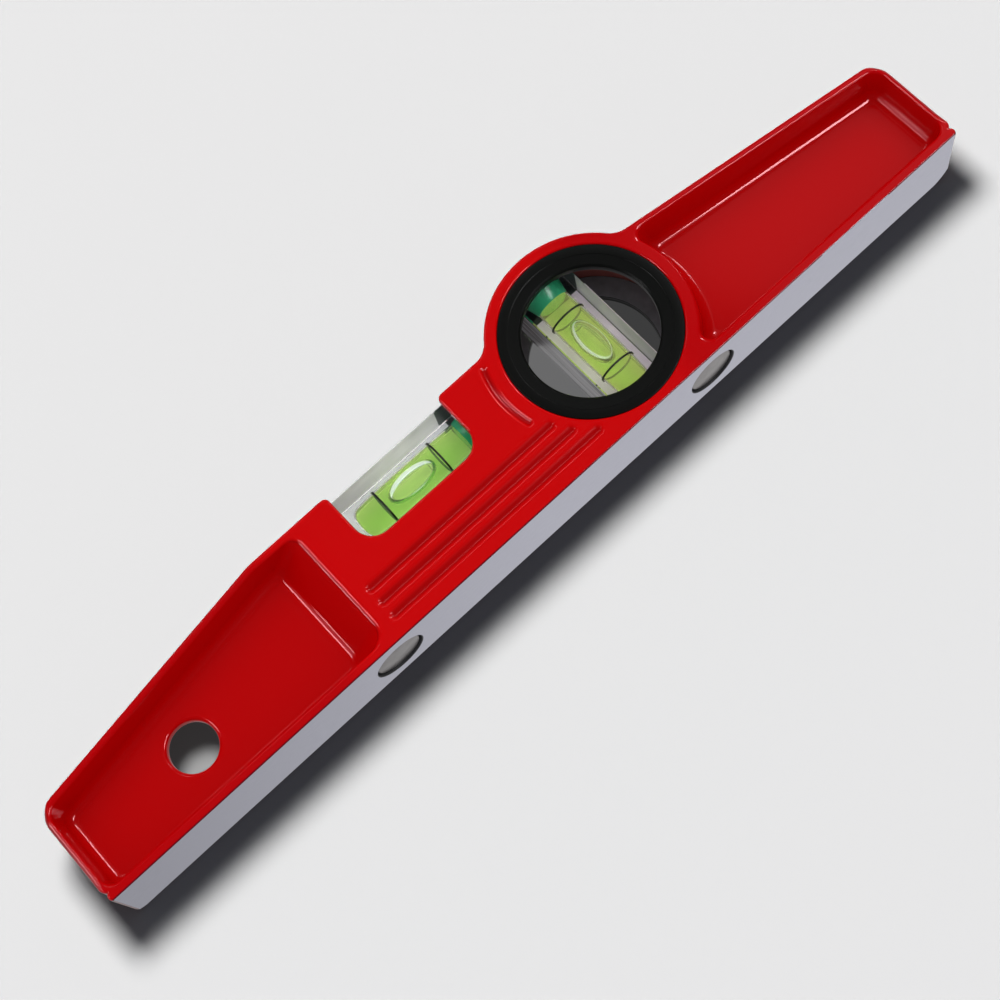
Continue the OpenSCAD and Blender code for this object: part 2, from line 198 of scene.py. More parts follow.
# %% One end
TOP_CORNER_R = 5
FOOT_C, FOOT_R = np.array([123.2, 1.1]), 1.2
HEEL_C, HEEL_R = np.array([122.0, 4.4]), 3.0
CAST_LOW = FOOT_C[1] - FOOT_R


def meeting(c0, r0, c1, r1):
    """The right-hand crossing of two circles."""
    d = np.linalg.norm(c1 - c0)
    a = (r0 * r0 - r1 * r1 + d * d) / (2 * d)
    w = (c1 - c0) / d
    return c0 + w * a + np.array([w[1], -w[0]]) * math.sqrt(r0 * r0 - a * a)


def right_end():
    nick = meeting(FOOT_C, FOOT_R, HEEL_C, HEEL_R)
    foot = side_arc(FOOT_C, FOOT_R, -90, heading(nick - FOOT_C), 8)
    heel = side_arc(HEEL_C, HEEL_R, heading(nick - HEEL_C), 0, 8)
    fan = [(nick, unit(foot[-1][1] * (1 - t) + heel[0][1] * t)) for t in (0.25, 0.5, 0.75)]
    wall = side_line((HALF_L, HEEL_C[1]), (HALF_L, END_H - 5.5), 6)
    corner = fillet((HALF_L, 4.4), (HALF_L, END_H), (BEND_X, MID_H), TOP_CORNER_R, 10)
    return foot + fan + heel + wall[1:] + corner


# %% The boss and its blends
def ring_part():
    """The blends and the boss, from the right slope to the flat top."""
    blend = 6.0
    rise = MID_H + blend - RING[1]
    left_c = np.array([RING[0] - math.sqrt((BOSS_R + blend) ** 2 - rise ** 2), MID_H + blend])
    way = unit((1, -SLOPE))
    up = np.array([-way[1], way[0]])
    gap = (np.array([BEND_X, MID_H]) - RING) @ up + blend
    right_c = RING + up * gap + way * math.sqrt((BOSS_R + blend) ** 2 - gap ** 2)
    a_right, a_left = heading(right_c - RING), heading(left_c - RING)
    return (side_arc(right_c, blend, heading(-up), a_right - 180, 8, -1)
            + side_arc(RING, BOSS_R, a_right, a_left, 56)
            + side_arc(left_c, blend, a_left - 180, -90, 8, -1))


# %% The whole outline
def mirrored(side):
    return [(p * (-1, 1), n * (-1, 1)) for p, n in reversed(side)]


WIN_L, WIN_R, SILL = -34.3, -1.6, 20.4
BROW_R, SILL_R, BEND_R = 1.5, 5, 15
outline = (
    side_line((-FOOT_C[0], CAST_LOW), (FOOT_C[0], CAST_LOW), 24)[1:-1]
    + right_end() + ring_part()
    + fillet((8, MID_H), (WIN_R, MID_H), (WIN_R, SILL), BROW_R, 6)
    + fillet((WIN_R, MID_H), (WIN_R, SILL), (WIN_L, SILL), SILL_R)
    + fillet((WIN_R, SILL), (WIN_L, SILL), (WIN_L, MID_H), SILL_R)
    + fillet((WIN_L, SILL), (WIN_L, MID_H), (-50, MID_H), BROW_R, 6)
    + fillet((0, MID_H), (-BEND_X, MID_H), (-HALF_L, END_H), BEND_R, 6)
    + mirrored(right_end()))
kept = [outline[0]]
for p, n in outline[1:]:
    if np.linalg.norm(p - kept[-1][0]) + np.linalg.norm(n - kept[-1][1]) > 1e-4:
        kept.append((p, n))
side = np.array([p for p, _ in kept])
side_n = np.array([n for _, n in kept])
print("Outline points:", len(side))

# %% [markdown]
# ## The casting: body skin
# The end walls have a larger round at their upright corners than the long edges have, so the radius
# of the round changes along the outline.

# %% Body skin
EDGE_R, END_R, FOOT_EDGE_R = 0.7, 1.9, 0.5


def edge_radius(p):
    """Rounding where the outline meets the faces: larger on the end walls, smaller near the base."""
    end = np.clip((abs(p[0]) - 121.5) / 3.0, 0, 1) * np.clip((p[1] - 2.2) / 3.5, 0, 1)
    end = end * end * (3 - 2 * end)
    low = FOOT_EDGE_R if p[1] < 0.3 else EDGE_R
    return low + (END_R - low) * end


radius = np.array([edge_radius(p) for p in side])
steps = np.radians(np.linspace(0, 90, 9))
rings = []
for face in (-1, 1):
    for a in (steps[::-1] if face < 0 else steps):
        z = face * (HALF_T - radius * (1 - math.sin(a)))
        xy = side - side_n * (radius * (1 - math.cos(a)))[:, None]
        rings.append([(x, y, h) for (x, y), h in zip(xy, z)])
body = mesh_piece("casting", *loft(rings))
print("Body skin faces:", len(body.data.polygons))

# %% [markdown]
# ## The casting: pockets
# A pocket is what a block in the die leaves: a round rim, drafted walls so that the casting lets go,
# and a wide fillet at the root. Each pocket is lofted from level curves, and then cut from the body.
# The rim's round runs on past the face at a small angle, so that the cut meets the face cleanly.

# %% Level curves of the pockets
RIM_ROUND = 0.6
FAR_X, RIM_Y = 123.3, 2.3  # where the end wall and the base wall meet the pocket's rim


def lines_path(corners, radii, n=7, splits=6):
    """A closed anticlockwise path of straight sides with round corners."""
    count = len(corners)
    bends = []
    for i in range(count):
        bend = fillet(corners[i - 1], corners[i], corners[(i + 1) % count], max(radii[i], 0.02), n)
        bends.append([p for p, _ in bend])
    path = []
    for i, bend in enumerate(bends):
        start, end = bend[-1], bends[(i + 1) % count][0]
        path += bend + [start + (end - start) * t for t in np.linspace(0, 1, splits + 1)[1:-1]]
    return np.array(path)


def heights():
    """Heights of the level curves, from over the face down to the web."""
    out = [HALF_T + 0.6, 7.5, 5.5]
    out += [HALF_T - RIM_ROUND * (1 - math.cos(a)) for a in np.radians(np.linspace(8, 90, 8))]
    for root in (3.0, 1.2):
        out += [WEB + root * (1 - math.sin(a)) for a in np.radians(np.linspace(0, 90, 10))]
    return sorted({round(z, 4) for z in out}, reverse=True)


def inset(z, draft, root):
    """How far a wall stands in from the rim at height z: its draft, its root fillet and the rim's round."""
    if z > HALF_T:
        return -RIM_ROUND * 1.6
    over = HALF_T - z
    lip = RIM_ROUND - math.sqrt(RIM_ROUND ** 2 - (RIM_ROUND - over) ** 2) if over < RIM_ROUND else 0
    rise = max(root - (z - WEB), 0)
    foot = root - math.sqrt(max(root * root - rise * rise, 0))
    return draft * over / (HALF_T - WEB) + foot - lip


def offset_corners(corners, insets):
    """Corners of a polygon whose sides have moved inwards, each by its own inset."""
    count = len(corners)
    sides = []
    for i in range(count):
        a, b = np.array(corners[i], float), np.array(corners[(i + 1) % count], float)
        d = unit(b - a)
        step = np.array([-d[1], d[0]]) * insets[i]
        sides.append((a + step, b + step))
    out = []
    for i in range(count):
        (p, q), (r, s) = sides[i - 1], sides[i]
        d, e = q - p, s - r
        t = ((r - p)[0] * e[1] - (r - p)[1] * e[0]) / (d[0] * e[1] - d[1] * e[0])
        out.append(p + d * t)
    return out


# %% [markdown]
# ## The casting: the two pockets
# The left pocket is a plain polygon, with a long ramp beside the magnet. The right one ends at the ring's
# flank, so its level curve joins arcs about the ring's centre to straight sides.

# %% Left pocket
# A wall is given by its draft and the radius of its root fillet.
END_WALL, RAMP, FLANK, CORNER = (1.0, 2.2), (8.0, 0.9), (1.2, 2.4), (0.3, 2.2)


def left_pocket():
    rim = [(-FAR_X, RIM_Y), (-45.0, RIM_Y), (-45.0, MID_H - 1.95), (-BEND_X, MID_H - 1.75),
           (-FAR_X, top_at(FAR_X) - 1.75)]
    radii = [3.0, 4.5, 2.6, 14.0, 3.4]
    walls = [(1.0, 2.2), RAMP, (1.2, 2.4), (1.2, 2.4), END_WALL]
    rings = []
    for z in heights():
        insets = [inset(z, *wall) for wall in walls]
        extra = inset(z, *CORNER)
        path = lines_path(offset_corners(rim, insets), [max(r - extra, 0.3) for r in radii])
        rings.append([(x, y, z) for x, y in path])
    return loft(rings[::-1])


# %% Right pocket
def right_pocket():
    rings = []
    lean = math.hypot(1, SLOPE)
    for z in heights():
        x1 = FAR_X - inset(z, *END_WALL)
        y0 = RIM_Y + inset(z, 0.8, 2.2)
        top_l = np.array([BEND_X, MID_H - (1.65 + inset(z, 2.2, 2.4)) * lean])
        top_r = np.array([FAR_X, top_at(FAR_X) - (1.75 + inset(z, 1.0, 2.4)) * lean])
        along_top = unit(top_r - top_l)
        down = np.array([along_top[1], -along_top[0]])
        flank = BOSS_R + 0.2 + inset(z, *FLANK)
        extra = inset(z, *CORNER)
        near, far = max(2.4 - 0.5 * extra, 0.4), max(3.4 - extra, 0.3)
        height = (RING - top_l) @ down - near
        c_top = RING - down * height + along_top * math.sqrt((flank + near) ** 2 - height ** 2)
        rise = RING[1] - y0 - near
        c_low = np.array([RING[0] + math.sqrt((flank + near) ** 2 - rise ** 2), y0 + near])
        t = ((x1 - far) - (top_l + down * far)[0]) / along_top[0]
        c_far = top_l + down * far + along_top * t
        up = heading(-down) % 360
        path = list(arc(RING, flank, heading(c_top - RING), heading(c_low - RING), 24))
        path += list(arc(c_low, near, heading(RING - c_low) % 360, 270, 6)[1:])
        path += list(np.linspace(path[-1], (x1 - far, y0), 11)[1:])
        path += list(arc((x1 - far, y0 + far), far, -90, 0, 7)[1:])
        path += list(np.linspace(path[-1], c_far + (far, 0), 5)[1:])
        path += list(arc(c_far, far, 0, up, 7)[1:])
        path += list(np.linspace(path[-1], c_top - down * near, 11)[1:])
        path += list(arc(c_top, near, up, heading(RING - c_top) % 360, 6)[1:-1])
        rings.append([(x, y, z) for x, y in path])
    return loft(rings[::-1])


# %% Pocket cutter for both faces
def flipped(part):
    """The same cutter on the back face."""
    points, faces = part
    return [(x, y, -z) for x, y, z in points], [f[::-1] for f in faces]


def cutter(name, *parts):
    return mesh_piece(name, *merged(*parts))


pockets = cutter("pockets", left_pocket(), right_pocket(), flipped(left_pocket()), flipped(right_pocket()))
print("Pocket cutter faces:", len(pockets.data.polygons))

# %% [markdown]
# ## The casting: grooves
# The grooves are shallow channels pressed by ribs in the die. Their floor follows a cosine, which has
# no edge at the face or at the bottom. They stop short of the bore, so that its lip stays whole.

# %% Grooves
GROOVE_D, GROOVE_HALF_W, GROOVE_END = 0.5, 1.75, 1.4
GROOVE_X, GROOVE_YS, GROOVE_STOP = -42.0, (5.0, 9.0, 13.0), 1.72
BOW_R, BOW_HALF_W, BOW_ANGLES = 25.15, 1.25, (157.5, 194.5)


def channel(contour, half_w, depth):
    """A shallow channel with a cosine floor, from a function that gives its plan at a half width."""
    rings = [contour(half_w * 1.25, HALF_T + 0.4), contour(half_w * 1.08, HALF_T + 0.03)]
    for t in np.linspace(0.97, 0.04, 11):
        z = HALF_T - depth * (1 + math.cos(math.pi * t)) / 2
        rings.append(contour(half_w * t, z))
    return loft(rings[::-1])


def straight_contour(x0, x1, y):
    def contour(w, z):
        path = list(arc((x1, y), w, -90, 90, 14)) + list(arc((x0, y), w, 90, 270, 14))
        return [(px, py, z) for px, py in path]
    return contour


def curved_contour(r, a0, a1):
    def contour(w, z):
        ends = [RING + r * unit((math.cos(math.radians(a)), math.sin(math.radians(a)))) for a in (a0, a1)]
        path = list(arc(RING, r + w, a0, a1, 20)) + list(arc(ends[1], w, a1, a1 + 180, 10)[1:])
        path += list(arc(RING, r - w, a1, a0, 20)[1:])
        path += list(arc(ends[0], w, a0 + 180, a0 + 360, 10)[1:-1])
        return [(px, py, z) for px, py in path]
    return contour


grooves = []
for y in GROOVE_YS:
    stop = RING[0] - math.sqrt((BORE_R + GROOVE_STOP) ** 2 - (y - RING[1]) ** 2)
    grooves.append(channel(straight_contour(GROOVE_X + GROOVE_END, stop - GROOVE_END, y), GROOVE_HALF_W,
                           GROOVE_D))
grooves.append(channel(curved_contour(BOW_R, *BOW_ANGLES), BOW_HALF_W, GROOVE_D))
grooves += [flipped(g) for g in grooves]
print("Grooves on both faces:", len(grooves))

# %% [markdown]
# ## The casting: bore, hole, slot, seats and wear
# The bore and the hole get a soft lip in the same way as the pockets. The slot is milled and stays
# sharp, and the seats have a small chamfer. The two upright corners at the back are rounder than the
# rest, and the base has two short scratches from use.

# %% Round holes and boxes
def lipped_hole(centre, r, half, lip, count):
    """A round through hole whose rims flare by lip, as a cutter."""
    top = [(r + lip * 1.3, half + 0.5)]
    top += [(r + lip * (1 - math.sin(a)), half - lip * (1 - math.cos(a)))
            for a in np.radians(np.linspace(10, 90, 8))]
    return revolve([(q, -z) for q, z in top] + top[::-1], count, centre)


def box_cutter(low, high):
    (x0, y0, z0), (x1, y1, z1) = low, high
    return loft([[(x0, y0, z), (x1, y0, z), (x1, y1, z), (x0, y1, z)] for z in (z0, z1)])


def upright(part, x):
    """Turns a part built on Z so that it stands on the base face at x, pointing up."""
    points, faces = part
    return [(x + px, pz, -py) for px, py, pz in points], faces


# %% Corners and scratches
def round_upright(sign, rx, rz):
    """What rounds an upright corner of the end wall at the back face."""
    x0, z0 = HALF_L - rx, rz - HALF_T
    plan = [(HALF_L + 2, -HALF_T - 2), (HALF_L + 2, z0)] + [
        (x0 + rx * math.cos(a), z0 - rz * math.sin(a)) for a in np.radians(np.linspace(0, 90, 17))]
    plan += [(x0, -HALF_T - 2)]
    low, high = ([(sign * x, y, z) for x, z in plan[::-sign]] for y in (-1, 40))
    return loft([low, high])


def scratch(a, b, wide=0.3, deep=0.05):
    """A shallow V in the base face, from a to b in (x, z)."""
    a, b = np.array(a, float), np.array(b, float)
    across = unit((b - a)[::-1] * (-1, 1)) * wide
    rings = []
    for t, share in ((0, 0.05), (0.25, 1), (0.7, 0.8), (1, 0.05)):
        c = a + (b - a) * t
        (x1, z1), (x2, z2) = c - across * share, c + across * share
        rings.append([(x2, -0.1, z2), (x1, -0.1, z1), (c[0], deep * share, c[1])])
    return loft(rings)


# %% The cutters as objects
BORE_LIP, HOLE_R, HOLE_LIP = 0.55, 5.8, 0.9
SEAT_R, SEAT_LIP = 6.35, 0.25
SLOT_LOW, SLOT_HIGH = (-36.8, 19.4, -7.6), (1.6, 60, 7.6)
seat = [(SEAT_R + SEAT_LIP, -1.0), (SEAT_R + SEAT_LIP, -0.05), (SEAT_R, 0.12), (SEAT_R, 2.0)]
openings = cutter("openings", lipped_hole(RING, BORE_R, HALF_T, BORE_LIP, 160),
                  box_cutter(SLOT_LOW, SLOT_HIGH), *grooves,
                  *[upright(revolve(seat, 96), x) for x in MAGNETS])
hole = cutter("hole", lipped_hole(HOLE, HOLE_R, WEB, HOLE_LIP, 96))
mill = cutter("mill", box_cutter((-140, -5, -20), (140, 0, 20)))
corners = cutter("corners", round_upright(1, 7.0, 8.2), round_upright(-1, 4.5, 4.0))
marks = cutter("marks", scratch((91, -1), (98, 4)), scratch((86, -4), (88, -8), 0.4))
print("Cutters ready:", [o.name for o in (pockets, openings, hole, mill, corners, marks)])


# %% [markdown]
# ## The casting: the cuts
# Exact booleans take the cutters out one after another, so that each can be counted and checked. The
# mill comes after the cast forms, as it does in the shop, and the scratches come last.

# %% Cut them out
def cut(obj, tool):
    mod = obj.modifiers.new("cut", "BOOLEAN")
    mod.operation = "DIFFERENCE"
    mod.solver = "EXACT"
    mod.object = tool
    bpy.context.view_layer.update()
    graph = bpy.context.evaluated_depsgraph_get()
    mesh = bpy.data.meshes.new_from_object(obj.evaluated_get(graph))
    obj.modifiers.clear()
    old = obj.data
    obj.data = mesh
    bpy.data.meshes.remove(old)
    bpy.data.objects.remove(tool)


for tool in (pockets, hole, openings, mill, corners, marks):
    cut(body, tool)
    print("Casting faces after a cut:", len(body.data.polygons))

# %% [markdown]
# ## Colours and nodes
# Colours are written as the sRGB hex that a colour card gives, and one function turns them to the
# linear values that the shader wants. Another adds a node and fills its sockets in one line.

# %% Helpers for materials
def linear(code):
    """The linear RGBA of an sRGB hex code."""
    channels = [int(code[i:i + 2], 16) / 255 for i in (1, 3, 5)]
    return [c / 12.92 if c <= 0.04045 else ((c + 0.055) / 1.055) ** 2.4 for c in channels] + [1]


def material(name):
    """A new material with an empty node tree and its output."""
    mat = bpy.data.materials.new(name)
    mat.use_nodes = True
    tree = mat.node_tree
    tree.nodes.clear()
    return mat, tree, tree.nodes.new("ShaderNodeOutputMaterial")


def add(tree, kind, settings=None, **inputs):
    """Adds a node. A socket name with underscores takes a value, or an output to link."""
    node = tree.nodes.new("ShaderNode" + kind)
    for key, value in (settings or {}).items():
        setattr(node, key, value)
    for key, value in inputs.items():
        socket = node.inputs[int(key[1:])] if key[1:].isdigit() else node.inputs[key.replace("_", " ")]
        if isinstance(value, bpy.types.NodeSocket):
            tree.links.new(value, socket)
        else:
            socket.default_value = value
    return node


def calc(tree, operation, a, b=0.0, c=0.0):
    """The output of a Math node."""
    return add(tree, "Math", {"operation": operation}, _0=a, _1=b, _2=c).outputs[0]


def span(tree, value, start, end, low=0.0, high=1.0, kind="LINEAR"):
    """Runs from low to high while value runs from start to end."""
    return add(tree, "MapRange", {"interpolation_type": kind}, Value=value, From_Min=start, From_Max=end,
               To_Min=low, To_Max=high).outputs["Result"]


def blend(tree, share, a, b):
    """Colour a where share is 0 and colour b where it is 1."""
    return add(tree, "Mix", {"data_type": "RGBA"}, _0=share, _6=a, _7=b).outputs[2]


def coated(mat, tree, out, **skin):
    """Gives the material an opaque surface."""
    tree.links.new(add(tree, "BsdfPrincipled", **skin).outputs[0], out.inputs["Surface"])
    return mat


# %% [markdown]
# ## The enamel and the bare metal
# The casting is dipped or sprayed with a red stoving enamel: a smooth, glossy coat with a slight
# orange peel and a little dust under it. Noise at the peel's real size of about 1.5 mm gives its
# waviness. Painted shade is laid into the colour: it darkens from half a millimetre under the faces,
# in the recesses, the grooves and on the sides, it darkens towards both ends, and a dark line of
# painted shade runs where the faces meet the milled base. So the colour follows the height over the
# base and the depth under the faces. The other finishes differ only in size of grain, in colour and in
# gloss, so two helpers make them: one whose colour wanders and one with a fine bump.

# %% Enamel
def enamel(name, deep):
    """Glossy red. deep is the colour of painted shade that it takes from half a millimetre under the faces.
    """
    mat, tree, out = material(name)
    where = add(tree, "TexCoord").outputs["Object"]
    at = add(tree, "SeparateXYZ", Vector=where).outputs
    from_middle = calc(tree, "ABSOLUTE", calc(tree, "ADD", at["X"], 7 * MM))
    # Painted shade: the red is darker towards both ends of the casting.
    rims = span(tree, from_middle, 42 * MM, 54 * MM, kind="SMOOTHSTEP")
    # Painted shade: darker from half a millimetre under the faces, in recesses, grooves and on the sides.
    painted_depth_shade = span(tree, calc(tree, "ABSOLUTE", at["Z"]), 9.95 * MM, 9.5 * MM, kind="SMOOTHSTEP")
    # Painted shade: a dark line where the faces meet the milled base.
    painted_edge_shade = span(tree, at["Y"], 0.12 * MM, 0.42 * MM)
    painted = blend(tree, painted_depth_shade, blend(tree, rims, linear("#C60204"), linear("#B40105")), linear(deep))
    coat = blend(tree, painted_edge_shade, linear("#5A0A18"), painted)
    peel = add(tree, "TexNoise", Vector=where, Scale=1 / (1.6 * MM), Detail=1.5, Roughness=0.45)
    dust = add(tree, "TexNoise", Vector=where, Scale=1 / (0.5 * MM), Detail=0)
    speck = span(tree, dust.outputs["Fac"], 0.76, 0.82)
    height = calc(tree, "MULTIPLY_ADD", speck, 0.6, peel.outputs["Fac"])
    bump = add(tree, "Bump", Strength=0.12, Distance=0.02 * MM, Height=height)
    return coated(mat, tree, out, Base_Color=coat, Roughness=0.12, IOR=1.5,
                  Specular_Tint=(1.0, 0.5, 0.55, 1), Normal=bump.outputs["Normal"])


# %% Finishes of one kind
def mottled(name, size, detail, dark, pale, stretch=(1, 1, 1), **skin):
    """A finish whose colour wanders between dark and pale, in grains of about size mm."""
    mat, tree, out = material(name)
    where = add(tree, "TexCoord").outputs["Object"]
    drawn = add(tree, "Mapping", Vector=where, Scale=stretch)
    grain = add(tree, "TexNoise", Vector=drawn.outputs[0], Scale=1 / (size * MM), Detail=detail)
    tint = blend(tree, grain.outputs["Fac"], linear(dark), linear(pale))
    return coated(mat, tree, out, Base_Color=tint, **skin)


def grained(name, colour, size, detail, strength, height, **skin):
    """One colour over a fine bump. size and height of the grain are in mm."""
    mat, tree, out = material(name)
    where = add(tree, "TexCoord").outputs["Object"]
    grain = add(tree, "TexNoise", Vector=where, Scale=1 / (size * MM), Detail=detail)
    bump = add(tree, "Bump", Strength=strength, Distance=height * MM, Height=grain.outputs["Fac"])
    return coated(mat, tree, out, Base_Color=linear(colour), Normal=bump.outputs["Normal"], **skin)


ENAMEL, MILLED, RAW, RECESS, BORE, SHADED_SEAT_WALL, GROOVE = range(7)
body.data.materials.clear()
# The second colour of each enamel is its painted shade under the faces.
for finish in (
        enamel("red_stoving_enamel", "#9C0107"),
        mottled("milled_aluminium", 0.3, 3, "#B4B4C2", "#C9C9D6", (0.12, 1, 1), Metallic=1.0, Roughness=0.36),
        grained("raw_cast_aluminium", "#6E7072", 0.5, 3, 0.3, 0.05, Metallic=0.6, Roughness=0.55),
        enamel("red_enamel_in_recesses", "#B80103"),
        # The bore wall takes a duller red-brown than the faces.
        mottled("red_brown_enamel_in_bore", 4, 2, "#7A3C38", "#94504A", Roughness=0.45, IOR=1.5),
        # The walls of the magnet seats are dark grey: painted shade.
        mottled("seat_wall_in_painted_shade", 0.3, 2, "#1C1C1E", "#4A4A4E", Metallic=0.2, Roughness=0.5),
        enamel("red_enamel_in_grooves", "#A20103")):
    body.data.materials.append(finish)
print("Finishes of the casting:", [m.name for m in body.data.materials])

# %% [markdown]
# ## Which face gets which finish
# The booleans leave no record of which cutter made a face, but a face's place says what it is: the
# base is milled, the slot is raw, and what lies away from the outline and under the faces is a recess.

# %% Finish of each face
def to_outline(x, y):
    """Distance in mm from a place to the casting's outline."""
    a, b = side, np.roll(side, -1, 0)
    d = b - a
    t = np.clip(((np.array([x, y]) - a) * d).sum(1) / np.maximum((d * d).sum(1), 1e-9), 0, 1)
    return np.linalg.norm(a + d * t[:, None] - (x, y), axis=1).min()


def face_material(face):
    """Index of the finish of a face of the casting."""
    x, y, z = (v / MM for v in face.center)
    from_ring = math.hypot(x - RING[0], y - RING[1])
    seat_r = SEAT_R + SEAT_LIP
    if y < 0.01 and face.normal.y < -0.9:
        return MILLED
    if 0 <= y < 2.2 and abs(z) < seat_r and min(abs(x - m) for m in MAGNETS) < seat_r:
        # The seat's wall gets the dark grey of painted shade.
        return MILLED if abs(face.normal.y) > 0.9 else SHADED_SEAT_WALL
    if y < 0.2 and face.normal.y < -0.5 and abs(x - 92) < 8:
        return MILLED
    if SLOT_LOW[0] - 0.1 < x < SLOT_HIGH[0] + 0.1 and y > SLOT_LOW[1] - 0.1 and abs(z) < SLOT_HIGH[2] + 0.05:
        return RAW
    if abs(from_ring - BORE_R) < 0.05 and abs(z) < 9.5:
        return BORE
    if abs(z) >= HALF_T - 0.001 or to_outline(x, y) < 1.1:
        return ENAMEL
    return GROOVE if abs(z) > 9.0 and -47 < x < 22 and from_ring > 20 else RECESS


for face in body.data.polygons:
    face.material_index = face_material(face)
body.data.shade_smooth()
body.data.set_sharp_from_angle(angle=math.radians(32))
weigh = body.modifiers.new("weigh", "WEIGHTED_NORMAL")
weigh.keep_sharp = True
weigh.weight = 100
print("Faces by finish:", np.bincount([f.material_index for f in body.data.polygons]))

# %% [markdown]
# ## Placing a piece
# Every visible piece rides on one body of the frame and stands in for one CAD node, which it hides.

# %% The casting in its place
def place(obj, mat, on, node):
    """Gives a piece its finish, if one is given, hangs it on its body of the frame and hides the CAD node it
    stands in for.
    """
    if mat:
        obj.data.materials.clear()
        obj.data.materials.append(mat)
    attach(obj, on)
    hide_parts(node)
    return obj


place(body, None, "level", "cast_body")

# %% [markdown]
# ## The bezels
# A black plastic ring is pressed into each mouth of the bore and holds the plumb vial. It is moulded,
# with a soft outer edge, a faint step and a window edge that slopes inwards, so its section is a
# short list of points turned about the ring's centre. Its underside shows through the window and gets
# a lighter grey finish of its own.

# %% Bezels
def soft(profile, r, n=4):
    """Rounds the corners of a closed section of (radius, height) points."""
    return [tuple(p) for p in lines_path(profile, [r] * len(profile), n, 1)]


def turned_ring(section, count, centre, flip=1):
    """A closed section turned about Z."""
    turn = [2 * math.pi * i / count for i in range(count)]
    m = len(section)
    points = [(centre[0] + r * math.cos(a), centre[1] + r * math.sin(a), flip * z)
              for a in turn for r, z in section]
    faces = []
    for i in range(count):
        j = (i + 1) % count
        for k in range(m):
            l = (k + 1) % m
            face = (i * m + k, j * m + k, j * m + l, i * m + l)
            faces.append(face if flip > 0 else face[::-1])
    return points, faces


BEZEL = [(15.62, 7.5), (20.85, 7.5), (20.85, 9.88), (18.62, 9.88), (18.55, 9.76), (16.1, 9.72), (15.62, 9.3)]
black = grained("black_moulded_plastic", "#0D0E0D", 0.4, 2, 0.05, 0.02, Specular_IOR_Level=0.2,
                Roughness=0.32, IOR=1.46)
# The underside is a lighter grey than the front.
grey_underside = mottled("grey_underside_of_bezel", 2, 4, "#5A5A5E", "#7A7A7E", Roughness=0.6)
for node, flip in (("front_bezel", 1), ("back_bezel", -1)):
    section = soft(BEZEL, 0.16)
    ring = mesh_piece(node + "_moulded", *turned_ring(section, 192, RING, flip), smooth=50)
    place(ring, black, "level", node)
    ring.data.materials.append(grey_underside)
    for face in ring.data.polygons:
        underside = abs(face.center.z) < 7.52 * MM and abs(face.normal.z) > 0.9
        face.material_index = int(underside)
    print(node, "faces:", len(ring.data.polygons))

# %% [markdown]
# ## The magnets
# Each magnet is a plated disc that is glued in its seat a little below the milled face.

# %% Magnets
MAGNET_R, CHAMFER, FACE_AT, BACK_AT = 5.95, 0.35, 0.5, 2.45
nickel = mottled("nickel_plated_magnet", 3, 4, "#6E6A6A", "#A09C9C", Metallic=1.0, Roughness=0.3)
edge = [(MAGNET_R - CHAMFER + CHAMFER * math.sin(a), FACE_AT + CHAMFER * (1 - math.cos(a)))
        for a in np.radians((0, 30, 60, 90))]
for node, x in zip(("left_magnet", "right_magnet"), MAGNETS):
    disc = revolve([(0.01, FACE_AT), *edge, (MAGNET_R, BACK_AT), (0.01, BACK_AT)], 96)
    magnet = mesh_piece(node + "_disc", *upright(disc, x), smooth=40)
    place(magnet, nickel, "level", node)
    print(node, "faces:", len(magnet.data.polygons))

# %% [markdown]
# ## The vials: shapes
# A block vial is a square bar of clear acrylic, bored from one end. The bore is a slim barrel, which
# centres the bubble. It holds a spirit with a yellow-green dye, two black rings that frame the bubble,
# and a teal plug that closes it. All of it is turned, apart from the bar.

# %% Vial shapes
BLIND, PLUG_IN, PLUG_L, MOUTH_R = -15.3, {"level": 15.0, "plumb": 13.0}, 3.4, 5.1
BUBBLE_L, BUBBLE_R, BUBBLE_UP = 6.6, 3.2, 1.04  # half length, radius and offset to the upper wall
LINE_AT, LINE_HALF_W = 8.2, 0.24


def chamber(x):
    """Radius of the barrel at x from its middle."""
    return 4.55 - 0.4 * (x / BLIND) ** 2


def along(part, centre, upright_vial):
    """Turns a part built along local Z so that it lies along the vial's axis, with Z of the level up."""
    points, faces = part
    out = []
    for a, b, u in points:
        out.append((centre[0] - a, centre[1] + u, b) if upright_vial else (centre[0] + u, centre[1] + a, b))
    return out, faces


def block_part(bevel=0.25):
    """A square bar with bevelled edges."""
    def square(w, x):
        c = w - bevel
        plan = [(w, -c), (w, c), (c, w), (-c, w), (-w, c), (-w, -c), (-c, -w), (c, -w)]
        return [(a, b, x) for a, b in plan]
    w, end = VIAL_W / 2, VIAL_L / 2
    return loft([square(w - bevel, -end), square(w, bevel - end), square(w, end - bevel),
                 square(w - bevel, end)])


def spirit_part(end):
    turns = np.radians(np.linspace(0, 90, 10))
    xs = [BLIND + 2.5 * (1 - math.cos(a)) for a in turns]
    rs = [chamber(x) - 2.5 * (1 - math.sin(a)) for x, a in zip(xs, turns)]
    profile = [(0.01, BLIND)] + list(zip(rs, xs))
    profile += [(chamber(x), x) for x in np.linspace(BLIND + 3.2, end - 0.05, 30)] + [(0.01, end - 0.05)]
    return revolve(profile, 96)


def bubble_part():
    turns = np.radians(np.linspace(0.5, 179.5, 60))
    profile = [(0.01, -BUBBLE_L)]
    profile += [(BUBBLE_R * math.sin(a) ** 0.8, -BUBBLE_L * math.cos(a)) for a in turns]
    points, faces = revolve(profile + [(0.01, BUBBLE_L)], 96)
    return [(a, b + BUBBLE_UP, u) for a, b, u in points], faces


